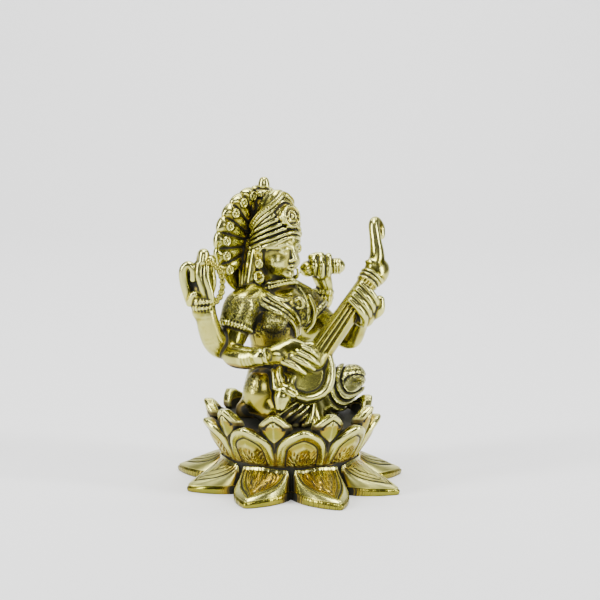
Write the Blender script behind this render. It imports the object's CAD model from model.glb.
"""Cast brass goddess with a veena, seated in a double lotus: the sculpted castings, their finish and the studio."""

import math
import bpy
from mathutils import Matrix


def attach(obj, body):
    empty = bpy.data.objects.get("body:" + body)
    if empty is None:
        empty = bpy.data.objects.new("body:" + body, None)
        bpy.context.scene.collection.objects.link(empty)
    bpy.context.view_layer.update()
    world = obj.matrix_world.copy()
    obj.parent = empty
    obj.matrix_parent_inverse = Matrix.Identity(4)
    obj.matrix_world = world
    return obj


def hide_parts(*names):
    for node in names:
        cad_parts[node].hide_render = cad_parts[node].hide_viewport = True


bl_info = {
    "name": "Brass Goddess With Veena",
    "version": (1, 0, 0),
    "blender": (4, 5, 0),
    "location": "3D View > Sidebar > Brass Goddess",
    "description": "Sculpts the lotus base, the lotus seat and the seated figure, and finishes them in brass",
    "category": "Object",
}

import bpy
import numpy as np
from bpy.props import FloatProperty, FloatVectorProperty, IntProperty, PointerProperty
from mathutils import Matrix, Vector

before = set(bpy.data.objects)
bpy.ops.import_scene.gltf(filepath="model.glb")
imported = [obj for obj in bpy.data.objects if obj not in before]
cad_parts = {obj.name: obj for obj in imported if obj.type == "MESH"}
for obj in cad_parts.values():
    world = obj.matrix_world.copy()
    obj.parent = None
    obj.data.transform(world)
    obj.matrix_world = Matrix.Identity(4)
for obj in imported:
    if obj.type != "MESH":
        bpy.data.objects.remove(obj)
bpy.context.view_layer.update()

MM = 0.001
KEPT = {}

# Place of the figure's own origin in the row frame, millimetres
FIGURE_PLACE = np.array([0.0, 9.0, 25.5])
HEAD_SHIFT = -0.8

# Directions of the three-quarter view that jewels and folds are laid out in
VIEW_TURN = -47
VIEW_RIGHT = np.array([0.682, -0.731, 0.0])
VIEW_TOWARD = np.array([-0.731, -0.682, 0.0])
UP = np.array([0, 0, 1.0])

# Lotus base
BASE_HEIGHT = 12.0
BASE_TIP_RADIUS = 46.1
BASE_NOTCH_RADIUS = 27.0
BASE_EDGE_HEIGHT = 3.2
BASE_PETAL_TURN = 22.5
BASE_PETAL_LEANS = [-4, -2, -0.5, -0.6, -0.6, -0.5, -4, -5.8]
BASE_PETAL_GROWTH = [0.5, 0, 2.5, -3.2, -1, 1.2, 0.2, 1.2]

# Lotus seat
SEAT_FOOT_RADIUS = 25.5
SEAT_FLOOR_HEIGHT = 13.5
SEAT_PETALS = 9
SEAT_TURN = -128.0

# The veena's own frame: along its neck, out of its face, and across to its lower side
VEENA_MIDDLE = np.array([-7.7, -24.0, 21.0])
VEENA_ALONG = np.array([0.69, -0.08, 0.72])
VEENA_ALONG = VEENA_ALONG / np.linalg.norm(VEENA_ALONG)
VEENA_FACE = np.array([-0.73, -0.68, 0.14])
VEENA_FACE = VEENA_FACE - VEENA_ALONG * VEENA_FACE.dot(VEENA_ALONG)
VEENA_FACE = VEENA_FACE / np.linalg.norm(VEENA_FACE)
VEENA_ACROSS = np.cross(VEENA_ALONG, VEENA_FACE)


def veena_spot(along, across, out):
    return VEENA_MIDDLE + VEENA_ALONG * along + VEENA_ACROSS * across + VEENA_FACE * out


def turn_matrix(turn):
    """Turns about X, then Y, then Z, in degrees."""
    a, b, c = (math.radians(angle) for angle in turn)
    about_x = np.array(Matrix.Rotation(a, 3, "X"))
    about_y = np.array(Matrix.Rotation(b, 3, "Y"))
    about_z = np.array(Matrix.Rotation(c, 3, "Z"))
    return about_z @ about_y @ about_x


def smooth_path(points, radii, per=6):
    """A rounded path through the points, with the radius carried along it."""
    p = np.array(points, float)
    if len(p) == 2:
        t = np.linspace(0, 1, 3)[:, None]
        line = p[0] + (p[1] - p[0]) * t
    else:
        ends = np.vstack([2 * p[0] - p[1], p, 2 * p[-1] - p[-2]])
        line = []
        for i in range(1, len(ends) - 2):
            a, b, c, d = ends[i - 1 : i + 3]
            for t in np.arange(per) / per:
                line.append(
                    0.5 * (2 * b + (c - a) * t + (2 * a - 5 * b + 4 * c - d) * t**2 + (3 * b - a - 3 * c + d) * t**3)
                )
        line.append(p[-1])
        line = np.array(line)
    share = np.linspace(0, 1, len(line))
    girth = np.interp(share, np.linspace(0, 1, len(radii)), radii)
    return line, girth


def soft_min(a, b, k):
    """The lower of two distances, with their meeting rounded over k."""
    h = np.maximum(k - np.abs(a - b), 0) / k
    return np.minimum(a, b) - h * h * (k * 0.25)


def step_up(value, low, high):
    """0 below low, 1 above high, smooth between."""
    t = np.clip((value - low) / (high - low), 0, 1)
    return t * t * (3 - 2 * t)


def fall(value, low, high):
    """1 below low, 0 above high, smooth between."""
    return 1 - step_up(value, low, high)


def ridge(distance, width):
    """A rounded bump one high, at distance 0."""
    return np.exp(-((distance / width) ** 2))


def outline_distance(u, v, corners):
    """Signed distance to a closed outline in a plane, negative inside."""
    best = np.full(np.broadcast(u, v).shape, 1e6, np.float32)
    sign = np.ones(best.shape, np.float32)
    count = len(corners)
    for i in range(count):
        ax, ay = corners[i]
        bx, by = corners[i - 1]
        ex, ey = bx - ax, by - ay
        wx, wy = u - ax, v - ay
        t = np.clip((wx * ex + wy * ey) / (ex * ex + ey * ey + 1e-12), 0, 1)
        gap = (wx - ex * t) ** 2 + (wy - ey * t) ** 2
        best = np.minimum(best, gap)
        one = v >= ay
        two = v < by
        three = ex * wy > ey * wx
        flip = (one & two & three) | (~one & ~two & ~three)
        sign = np.where(flip, -sign, sign)
    return sign * np.sqrt(best)


def box_blur(grid, reach):
    """Running mean along each axis over 2 * reach + 1 cells."""
    for axis in range(3):
        pad = [(0, 0)] * 3
        pad[axis] = (reach + 1, reach)
        total = np.cumsum(np.pad(grid, pad, mode="edge"), axis=axis, dtype=np.float32)
        size = grid.shape[axis]
        high = [slice(None)] * 3
        low = [slice(None)] * 3
        high[axis] = slice(2 * reach + 1, 2 * reach + 1 + size)
        low[axis] = slice(0, size)
        grid = (total[tuple(high)] - total[tuple(low)]) / (2 * reach + 1)
    return grid


class Clay:
    """A block of modelling clay: signed distances to the skin on a grid, in millimetres, negative inside."""

    FAR = 4.0
    MARGIN = 2.2

    def __init__(self, low, high, step):
        self.step = float(step)
        self.low = np.array(low, float)
        self.size = np.ceil((np.array(high, float) - self.low) / step).astype(int) + 1
        self.field = np.full(self.size, self.FAR, np.float32)
        self.marks = [(self.low[k] + np.arange(self.size[k]) * step).astype(np.float32) for k in range(3)]

    def window(self, low, high):
        spans = []
        for k in range(3):
            first = int(np.clip((low[k] - self.low[k]) / self.step, 0, self.size[k] - 1))
            last = int(np.clip((high[k] - self.low[k]) / self.step + 2, 1, self.size[k]))
            spans.append(slice(first, max(last, first + 1)))
        x, y, z = (self.marks[k][spans[k]] for k in range(3))
        return tuple(spans), x[:, None, None], y[None, :, None], z[None, None, :]

    def join(self, spans, new, blend):
        self.field[spans] = soft_min(self.field[spans], new.astype(np.float32), blend)

    def own_axes(self, centre, reach, turn):
        """The cells round a centre, and their places along its own axes."""
        spans, x, y, z = self.window(centre - reach, centre + reach)
        m = turn_matrix(turn)
        q = x - centre[0], y - centre[1], z - centre[2]
        return spans, [q[0] * m[0, k] + q[1] * m[1, k] + q[2] * m[2, k] for k in range(3)]

    def strand(self, points, radii, blend=0.6, per=6):
        """A rounded cord or limb along a path."""
        line, girth = smooth_path(points, radii, per)
        reach = girth.max() + self.MARGIN + blend
        spans, x, y, z = self.window(line.min(0) - reach, line.max(0) + reach)
        new = np.full(self.field[spans].shape, self.FAR, np.float32)
        starts = np.array([s.start for s in spans])
        for a, b, ra, rb in zip(line[:-1], line[1:], girth[:-1], girth[1:]):
            low = np.minimum(a, b) - reach
            high = np.maximum(a, b) + reach
            part = self.window(low, high)[0]
            inner = tuple(
                slice(max(part[k].start - starts[k], 0), min(part[k].stop - starts[k], new.shape[k]))
                for k in range(3)
            )
            px, py, pz = x[inner[0]], y[:, inner[1]], z[:, :, inner[2]]
            way = b - a
            squared = float(way @ way) + 1e-9
            qx, qy, qz = px - a[0], py - a[1], pz - a[2]
            t = np.clip((qx * way[0] + qy * way[1] + qz * way[2]) / squared, 0, 1)
            qx, qy, qz = qx - way[0] * t, qy - way[1] * t, qz - way[2] * t
            distance = np.sqrt(qx * qx + qy * qy + qz * qz) - (ra + (rb - ra) * t)
            new[inner] = np.minimum(new[inner], distance)
        self.join(spans, new, blend)

    def strands(self, rows, place=None):
        """Several strands: each row is points, radii and blend. place turns a point's numbers into its place."""
        for points, *rest in rows:
            self.strand([place(*point) for point in points] if place else points, *rest)

    def egg(self, centre, radii, turn=(0, 0, 0), blend=0.8):
        r = np.array(radii, float)
        spans, own = self.own_axes(np.array(centre, float), r.max() + self.MARGIN + blend, turn)
        near = sum((own[k] / r[k]) ** 2 for k in range(3))
        far = sum((own[k] / r[k] ** 2) ** 2 for k in range(3))
        k0 = np.sqrt(near)
        new = k0 * (k0 - 1) / np.sqrt(far + 1e-9)
        self.join(spans, new, blend)

    def hoop(self, centre, radius, thickness, turn=(0, 0, 0), depth=1.0, blend=0.4):
        """A ring around a form, its own axis along Z before it is turned."""
        reach = radius * max(depth, 1) + thickness + self.MARGIN + blend
        spans, (lx, ly, lz) = self.own_axes(np.array(centre, float), reach, turn)
        new = np.hypot(np.hypot(lx, ly / depth) - radius, lz) - thickness
        self.join(spans, new, blend)

    def stack(self, levels, x_middle=0.0, blend=1.0):
        """Upright form of flat ellipses; each level is z, y, half width, half depth."""
        rows = np.array(levels, float)
        fine = np.arange(rows[0, 0], rows[-1, 0] + 0.05, 0.1)
        table = [np.interp(fine, rows[:, 0], rows[:, k]) for k in range(1, 4)]
        kernel = np.ones(7) / 7
        table = [np.convolve(np.pad(column, 3, mode="edge"), kernel, mode="valid") for column in table]
        around = 3
        wide = rows[:, 2].max() + around
        deep = rows[:, 3].max() + around + np.abs(rows[:, 1]).max()
        low = [x_middle - wide, -deep, rows[0, 0] - around]
        high = [x_middle + wide, deep, rows[-1, 0] + around]
        spans, x, y, z = self.window(low, high)
        level = z.astype(float) + 0 * y
        middle, half_width, half_depth = (np.interp(level, fine, table[k]) for k in range(3))
        qx = (x - x_middle) / half_width
        qy = (y - middle) / half_depth
        k0 = np.sqrt(qx**2 + qy**2)
        k1 = np.sqrt((qx / half_width) ** 2 + (qy / half_depth) ** 2) + 1e-6
        new = k0 * (k0 - 1) / k1
        new = np.maximum(new, np.maximum(fine[0] - level, level - fine[-1]))
        self.join(spans, new, blend)

    def turned(self, profile, centre, tilt=0.0, blend=0.4):
        """A turned form from an outline of radius and height, about its own axis tilted about X."""
        reach = max(max(abs(r), abs(h)) for r, h in profile) + self.MARGIN + blend
        spans, (lx, ly, lz) = self.own_axes(np.array(centre, float), reach, (tilt, 0, 0))
        closed = [(-0.01, profile[0][1])] + list(profile) + [(-0.01, profile[-1][1])]
        new = outline_distance(np.hypot(lx, ly), lz, closed)
        self.join(spans, new, blend)

    def veena_part(self, rule, low, high, blend=0.5):
        """A form given in the veena's own frame, between two corners along, across and out."""
        corners = np.array(
            [veena_spot(a, c, o) for a in (low[0], high[0]) for c in (low[1], high[1]) for o in (low[2], high[2])]
        )
        spans, x, y, z = self.window(corners.min(0) - 2.5, corners.max(0) + 2.5)
        q = [x - VEENA_MIDDLE[0], y - VEENA_MIDDLE[1], z - VEENA_MIDDLE[2]]
        along, across, out = (sum(q[k] * way[k] for k in range(3)) for way in (VEENA_ALONG, VEENA_ACROSS, VEENA_FACE))
        self.join(spans, rule(along, across, out), blend)

    def cut_below(self, height):
        level = height - self.marks[2]
        self.field = -soft_min(-self.field, -(level[None, None, :] + 0 * self.field), 0.5)

    def carve(self, low, high, rule, reach=1.6):
        """Takes metal off, or adds it where the rule is negative, close to the skin."""
        spans = self.window(low, high)[0]
        spots = np.nonzero(np.abs(self.field[spans]) < reach)
        index = tuple(spots[k] + spans[k].start for k in range(3))
        self.field[index] += rule(*(self.marks[k][index[k]] for k in range(3))).astype(np.float32)

    def read(self, grid, points):
        q = (points - self.low) / self.step
        base = np.clip(np.floor(q).astype(int), 0, np.array(grid.shape) - 2)
        f = np.clip(q - base, 0, 1)
        total = 0
        for dx in (0, 1):
            for dy in (0, 1):
                for dz in (0, 1):
                    weight = (
                        (f[:, 0] if dx else 1 - f[:, 0]) * (f[:, 1] if dy else 1 - f[:, 1])
                        * (f[:, 2] if dz else 1 - f[:, 2])
                    )
                    total = total + weight * grid[base[:, 0] + dx, base[:, 1] + dy, base[:, 2] + dz]
        return total

    def land(self, starts, way, field, reach=90.0):
        """Where rays from the starts first meet the skin, or pass closest by; one that stays far off is left out."""
        way = np.array(way, float) / np.linalg.norm(way)
        steps = np.arange(0, reach, self.step * 0.7)
        hits, near_miss = [], 2.5
        for start in np.atleast_2d(np.array(starts, float)):
            line = start + way * steps[:, None]
            outside = ((line < self.low) | (line > self.low + (self.size - 1) * self.step)).any(1)
            values = np.where(outside, self.FAR, self.read(field, line))
            found = np.nonzero(values < 0)[0]
            nearest = found[0] if len(found) else int(values.argmin())
            if values[nearest] < near_miss:
                hits.append(line[nearest])
        return np.array(hits).reshape(-1, 3)

    def laid(self, marks, lift=0.0):
        """Points on the kept body, from places given as right and up in the three-quarter view."""
        starts = [VIEW_RIGHT * u + UP * v + VIEW_TOWARD * 55 for u, v in marks]
        return self.land(starts, -VIEW_TOWARD, self.body) + VIEW_TOWARD * lift

    def keep_body(self):
        """Keeps the form so far as the body that jewels and cloth are laid on."""
        self.body = self.field.copy()

    def skin(self):
        """Corners and four-sided faces of the skin."""
        f = self.field
        inside = f < 0
        corners = [(i, j, k) for i in (0, 1) for j in (0, 1) for k in (0, 1)]
        n = np.array(f.shape) - 1
        count = np.zeros(n, np.uint8)
        for i, j, k in corners:
            count += inside[i : n[0] + i, j : n[1] + j, k : n[2] + k]
        cells = np.argwhere((count > 0) & (count < 8))
        number = np.full(n, -1, np.int32)
        number[tuple(cells.T)] = np.arange(len(cells))
        total = np.zeros((len(cells), 3))
        crossings = np.zeros(len(cells))
        for a in corners:
            for axis in range(3):
                if a[axis]:
                    continue
                b = list(a)
                b[axis] = 1
                fa = f[tuple((cells + a).T)]
                fb = f[tuple((cells + b).T)]
                cross = (fa < 0) != (fb < 0)
                t = np.where(cross, fa / np.where(cross, fa - fb, 1), 0)
                point = np.tile(np.array(a, float), (len(cells), 1))
                point[:, axis] = t
                total += point * cross[:, None]
                crossings += cross
        spots = self.low + (cells + total / crossings[:, None]) * self.step
        faces = []
        for axis in range(3):
            u, v = (axis + 1) % 3, (axis + 2) % 3
            first = [slice(1, n[k]) for k in range(3)]
            first[axis] = slice(0, n[axis])
            beyond = list(first)
            beyond[axis] = slice(1, n[axis] + 1)
            here, there = inside[tuple(first)], inside[tuple(beyond)]
            offset = np.array([s.start for s in first])
            for kept, order in ((here & ~there, 1), (there & ~here, -1)):
                p = np.argwhere(kept) + offset
                if not len(p):
                    continue
                du = np.zeros(3, int)
                dv = np.zeros(3, int)
                du[u] = 1
                dv[v] = 1
                ring = [p - du - dv, p - dv, p, p - du]
                quad = np.stack([number[tuple(q.T)] for q in ring], 1)
                faces.append(quad[:, ::order])
        faces = np.vstack(faces)
        faces = faces[(faces >= 0).all(1)]
        for _ in range(2):
            value = self.read(f, spots)
            slope = np.stack(
                [
                    self.read(f, spots + move) - self.read(f, spots - move)
                    for move in np.eye(3) * self.step * 0.5
                ],
                1,
            ) / self.step
            size = (slope**2).sum(1) + 0.05
            shift = value[:, None] * slope / size[:, None]
            spots = spots - np.clip(shift, -0.4 * self.step, 0.4 * self.step)
        return spots, faces

    def hollows(self, points):
        """How deep in a crease each point lies, and how shut in it is, both 0 to 1."""
        crease_reach, furrow_reach, near_reach, wide_reach = 0.5, 1.2, 1.4, 3.6
        f = np.clip(self.field, -2, 2)
        crease = self.read(f - box_blur(f, max(1, round(crease_reach / self.step))), points)
        furrow = self.read(f - box_blur(f, max(2, round(furrow_reach / self.step))), points)
        solid = (self.field < 0).astype(np.float32)
        near = self.read(box_blur(solid, max(1, round(near_reach / self.step))), points)
        wide = self.read(box_blur(solid, max(2, round(wide_reach / self.step))), points)
        hollow = np.clip(0.5 + crease * 3.2 + furrow * 1.1, 0, 1)
        shade = np.clip((near - 0.5) * 1.7 + (wide - 0.5) * 1.5, 0, 1)
        return hollow, shade


def new_mesh(name, corners, faces):
    """A mesh in metres from corners in millimetres and faces of three or four corners."""
    mesh = bpy.data.meshes.new(name)
    corners = np.asarray(corners, np.float32) * MM
    faces = np.asarray(faces, np.int32)
    mesh.vertices.add(len(corners))
    mesh.vertices.foreach_set("co", corners.ravel())
    sides = faces.shape[1]
    mesh.loops.add(faces.size)
    mesh.loops.foreach_set("vertex_index", faces.ravel())
    mesh.polygons.add(len(faces))
    mesh.polygons.foreach_set("loop_start", np.arange(0, faces.size, sides, dtype=np.int32))
    mesh.polygons.foreach_set("loop_total", np.full(len(faces), sides, np.int32))
    mesh.update(calc_edges=True)
    mesh.validate()
    return mesh


def corner_places(mesh):
    co = np.zeros(len(mesh.vertices) * 3, np.float32)
    mesh.vertices.foreach_get("co", co)
    return co.reshape(-1, 3).astype(float) / MM


def write_marks(mesh, name, values):
    layer = mesh.attributes.new(name, "FLOAT", "POINT")
    layer.data.foreach_set("value", np.asarray(values, np.float32))


def smooth_shaded(mesh):
    mesh.polygons.foreach_set("use_smooth", np.ones(len(mesh.polygons), bool))
    mesh.update()


def place_object(name, data):
    thing = bpy.data.objects.new(name, data)
    bpy.context.scene.collection.objects.link(thing)
    return thing


def baked(piece):
    """The piece with its modifiers applied, as a plain mesh on the same object."""
    bpy.context.view_layer.update()
    graph = bpy.context.evaluated_depsgraph_get()
    done = bpy.data.meshes.new_from_object(piece.evaluated_get(graph))
    name = piece.name
    bpy.data.objects.remove(piece)
    return place_object(name, done)


def thinned(piece, most):
    """Fewer triangles, kept where the carving is."""
    triangles = sum(len(face.vertices) - 2 for face in piece.data.polygons)
    if triangles <= most:
        return piece
    thin = piece.modifiers.new("thin", "DECIMATE")
    thin.ratio = most / triangles
    thin.use_collapse_triangulate = True
    return baked(piece)


def carry(piece, node=None):
    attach(piece, "root")
    if node:
        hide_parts(node)


# Shader values


class Bench:
    """Lays nodes on one tree; each socket gets a value, a colour or a link."""

    def __init__(self, tree):
        self.tree = tree

    def feed(self, socket, value):
        if isinstance(value, Amount):
            value = value.socket
        if isinstance(value, bpy.types.NodeSocket):
            self.tree.links.new(value, socket)
        else:
            socket.default_value = value

    def add(self, kind, settings=None, inputs=None, out=0):
        node = self.tree.nodes.new(kind)
        for name, value in (settings or {}).items():
            setattr(node, name, value)
        for key, value in (inputs or {}).items():
            self.feed(node.inputs[key], value)
        return node.outputs[out] if node.outputs else None

    def amount(self, socket):
        return Amount(self, socket)

    def mark(self, name):
        return self.amount(self.add("ShaderNodeAttribute", {"attribute_name": name}, out="Fac"))

    def noise(self, where, scale, detail=3.0, rough=0.55):
        inputs = {"Vector": where, "Scale": scale, "Detail": detail, "Roughness": rough}
        return self.amount(self.add("ShaderNodeTexNoise", None, inputs, out="Fac"))

    def mixed(self, share, first, second):
        return self.add("ShaderNodeMix", {"data_type": "RGBA"}, {0: share, 6: first, 7: second}, out=2)


class Amount:
    """A number in a material: plain arithmetic on it adds the Math nodes."""

    def __init__(self, bench, socket):
        self.bench = bench
        self.socket = socket

    def math(self, operation, *others, first=None, clamp=False):
        values = ([] if first is None else [first]) + [self] + list(others)
        settings = {"operation": operation, "use_clamp": clamp}
        socket = self.bench.add("ShaderNodeMath", settings, dict(enumerate(values)))
        return Amount(self.bench, socket)

    def __add__(self, other):
        return self.math("ADD", other)

    __radd__ = __add__

    def __sub__(self, other):
        return self.math("SUBTRACT", other)

    def __rsub__(self, other):
        return self.math("SUBTRACT", first=other)

    def __mul__(self, other):
        return self.math("MULTIPLY", other)

    __rmul__ = __mul__

    def held(self):
        return self.math("ADD", 0.0, clamp=True)

    def rising(self, low, high):
        """0 below low, 1 above high, smooth between."""
        settings = {"interpolation_type": "SMOOTHSTEP"}
        inputs = {0: self, 1: low, 2: high, 3: 0.0, 4: 1.0}
        return Amount(self.bench, self.bench.add("ShaderNodeMapRange", settings, inputs))


def new_material(name):
    """An empty material, its bench, and the place on the piece that patterns follow."""
    material = bpy.data.materials.new(name)
    material.use_nodes = True
    material.node_tree.nodes.clear()
    b = Bench(material.node_tree)
    return material, b, b.add("ShaderNodeTexCoord", out="Object")


def brass(name, finish, engraving=None):
    """Polished cast brass, dark in its recesses, golden where the metal sees itself."""
    material, b, where = new_material(name)
    hollow = b.mark("hollow")
    shade = b.mark("shade")
    gold = b.mark("gold")
    rubbed = b.mark("rubbed")
    cloud = b.noise(where, 80.0, 3.0)
    blotch = b.noise(where, 320.0, 3.0)
    grain = b.noise(where, 1400.0, 2.0)
    dirt = (
        hollow.rising(0.55, 0.76) * 0.95 + shade.rising(0.3, 0.85) * 0.85
        + (blotch - 0.52) * 0.9 * shade.rising(0.1, 0.5)
    )
    height = grain * 0.07 + blotch * 0.22
    if engraving is not None:
        cut = engraving(b, where)
        dirt = dirt + cut * 0.85
        height = height - cut * 1.6
    dirt = dirt.held()
    edge = (1 - hollow).rising(0.54, 0.74)
    tone = b.mixed(cloud.rising(0.35, 0.68), tuple(finish.polished), tuple(finish.golden))
    tone = b.mixed((shade.rising(0.05, 0.5) * 0.6 + gold * 0.8).held(), tone, tuple(finish.deep))
    tone = b.mixed((edge * 0.75 + rubbed * 0.22).held(), tone, tuple(finish.bright))
    tone = b.mixed(dirt, tone, tuple(finish.patina))
    rough = 0.14 + cloud * 0.1 + dirt * 0.45 + grain * 0.06 + rubbed * 0.06
    bump = b.add("ShaderNodeBump", None, {"Strength": 0.4, "Distance": 0.0004, "Height": height})
    shader = b.add(
        "ShaderNodeBsdfPrincipled",
        None,
        {
            "Base Color": tone,
            "Metallic": (1 - dirt * 0.6).held(),
            "Roughness": rough.held(),
            "Normal": bump,
        },
    )
    b.add("ShaderNodeOutputMaterial", None, {"Surface": shader})
    return material


# Forms of the figure, in its own frame, millimetres


def model_trunk(clay):
    clay.stack(
        [
            (0, 0.5, 11.5, 10),
            (10, 0.5, 12.8, 10.8),
            (20, 0.5, 10, 8.6),
            (28, 0.6, 9.6, 7.8),
            (35, 0.6, 12.2, 8.6),
            (42, 0.4, 15, 8.6),
            (48, 0.8, 13.6, 7.4),
            (52, 0.8, 7.2, 5.8),
            (59, -0.6, 4.6, 4.8),
        ],
        blend=1.0,
    )
    for side in (-1, 1):
        clay.egg((side * 6.2, -6.2, 39.4), (5.6, 4.8, 5.4), blend=1.4)
    clay.egg((1.2, -5.4, 43.6), (9, 5.6, 6), blend=2.5)
    for height, girth in ((19.4, 0.7), (21.4, 1.0), (23.4, 0.7)):
        clay.strand(
            [(-10.2, 1.5, height), (-7.6, 7.0, height), (0, 9.6, height), (7.6, 7.0, height), (10.2, 1.5, height)],
            [girth * 0.6, girth, girth * 0.6], 0.2
        )
    clay.strand([(0, 10.2, 21.4), (0.4, 10.6, 15), (0, 12.4, 7)], [1.5, 1.2, 1.8], 0.3)
    clay.egg((0, -4.6, 22), (7.5, 5.5, 6.5), blend=3)


def model_legs(clay):
    clay.strand([(-5, -1, 11), (-12, -7, 12), (-17, -10.5, 12)], [8, 8, 7], 2)
    clay.egg((-17.6, -11, 12), (7.3, 7.4, 10), blend=2)
    clay.strand([(6, -1, 11), (18, -8, 11.4), (31.4, -13.8, 12.6)], [8, 6.6, 5.0], 2)
    clay.strand([(30.2, -14.2, 9.6), (14, -18.6, 6.2), (-2, -20.5, 5)], [4.6, 5.4, 4.8], 1.5)
    clay.strand([(-17, -15, 6.8), (-6, -20, 4.6), (8, -18, 4.4)], [6.2, 5.4, 4.4], 1.5)
    clay.strand([(-2, -17.5, 13), (-3, -19.5, 8), (-3.6, -20.5, 1.5)], [3, 5.6, 7.6], 1.5)
    clay.strand([(-11, 4.5, 2.4), (0, 8, 3), (13, 4, 3)], [4, 5.8, 5], 3)
    for i in range(-3, 4):
        clay.strand(
            [
                (-2 + 0.5 * i, -20.6, 12.4), (-3.8 + 1.5 * i, -25.4 + 0.28 * i * i, 6.4),
                (-4.2 + 2.5 * i, -27.4 + 0.5 * i * i, 1.0)
            ],
            [0.8, 1.0, 1.35], 0.35,
        )
        clay.egg((-4.2 + 2.5 * i, -27.2 + 0.5 * i * i, 0.9), (1.5, 1.2, 1.2), blend=0.3)


def fold_creases(x, y, z):
    """Bands of cloth hanging in curves round the left knee, with hatched edges."""
    knee_right, knee_height, band_width = 31.9, 13.4, 2.6
    u = x * VIEW_RIGHT[0] + y * VIEW_RIGHT[1]
    away = np.hypot((u - knee_right) * 0.96, z - knee_height)
    turn = np.arctan2(z - knee_height, u - knee_right)
    inside = step_up(x, 5, 8) * step_up(-y, 2, 6) * fall(z, 17.5, 20)
    bands = (away - 5.4) / band_width
    phase = bands - np.floor(bands)
    lip = ridge((phase - 0.5) * band_width, 0.85) * 0.75
    gap = ridge(np.minimum(phase, 1 - phase) * band_width, 0.42) * 1.2
    hatch = ridge(((turn * away / 1.1) % 1) - 0.5, 0.2) * 0.6 * ridge((phase - 0.5) * band_width, 0.75)
    on = step_up(away, 4.6, 5.2) * fall(away, 19, 21) * inside
    oval = np.hypot(u - knee_right, (z - 11.4) * 1.55)
    rim = ridge(oval - 4.5, 0.42) * 0.8 * step_up(z, 11.6, 12.6) * inside
    return (gap - lip + hatch) * on + rim


def ticked_band(clay, centre, radius, girth, turn=(0, 0, 0)):
    """A ring round the arm or neck with short cuts across it."""
    clay.hoop(centre, radius, girth, turn, blend=0.2)
    c = np.array(centre)
    m = turn_matrix(turn)
    reach = radius + girth + 1

    def cuts(x, y, z):
        lx, ly, lz = (sum((q - c[k]) * m[k, j] for k, q in enumerate((x, y, z))) for j in range(3))
        lane = np.arctan2(ly, lx) * radius / 1.25
        away = np.hypot(np.hypot(lx, ly) - radius, lz)
        return ridge((lane % 1) - 0.5, 0.2) * 0.5 * fall(away, girth + 0.1, girth + 0.9)

    clay.carve(c - reach, c + reach, cuts)


def model_arms(clay):
    # Her right front arm: sleeve, upper arm, forearm
    clay.strand([(-10.5, 1.4, 47.2), (-16.2, 2, 43.6), (-18.6, 2, 39)], [5.6, 6.9, 6.6], 1.5)
    clay.strand(
        [(-17.5, 2, 40), (-21.2, 1.3, 34), (-24.8, -2, 27.3), (-25.8, -10, 26.7), (-25.2, -17.4, 28)],
        [4.9, 4.6, 4.5, 4.4, 3.1], 0.8
    )
    ticked_band(clay, (-19.8, 1.6, 36.4), 5.7, 1.2, (0, 22, 0))
    for place, size in (((-24.9, -17.6, 28.0), 2.9), ((-24.0, -19.2, 28.3), 2.85)):
        clay.hoop(place, size, 0.55, (78, 0, 26), blend=0.15)
    # Her left front arm
    clay.strand([(10.5, 1.2, 47), (16.2, 0.6, 43), (19.4, -1.6, 39.6)], [5.4, 6.4, 6], 1.5)
    clay.strand(
        [(18, -1, 41), (22.6, -6, 35), (27.6, -14.2, 28.4), (27, -19, 34), (25, -23.4, 40)], [5, 4.6, 4.2, 4, 3.4],
        0.8
    )
    clay.hoop((20.2, -2.8, 38.4), 5.6, 1.1, (-34, -34, 0), blend=0.3)
    # Back pair, raised
    route = [(-15, 3.4, 38), (-20, 3.6, 31), (-25, 3.4, 29.2), (-30.2, 3, 33), (-33.6, 3, 41), (-34.4, 3, 47.5)]
    clay.strand(route, [5, 5, 4.8, 4.6, 4.1, 3.5], 0.8)
    left_route = [(-x - 3.4 * (1 if x < -16 else 0.4), y, z) for x, y, z in route]
    clay.strand(left_route, [5, 4.8, 4.6, 4.2, 3.4, 2.8], 0.8)
    for height, size in ((45.8, 3.6), (48.0, 3.7)):
        ticked_band(clay, (-34.8, 3.3, height), size, 0.95, (0, -8, 0))
    for height, size in ((43.0, 3.5), (45.2, 3.7)):
        ticked_band(clay, (31, 3, height), size, 1.0, (0, 6, 0))


ROSARY_HAND = (-35.75, 3.4, 55.6)
LEAF_HAND = (28.54, 2.45, 53.3)


def hand_spot(middle, u, v, w):
    """A place by right, up and toward in the three-quarter view, from the middle of a hand."""
    return np.array(middle) + VIEW_RIGHT * u + UP * v + VIEW_TOWARD * w


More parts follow.
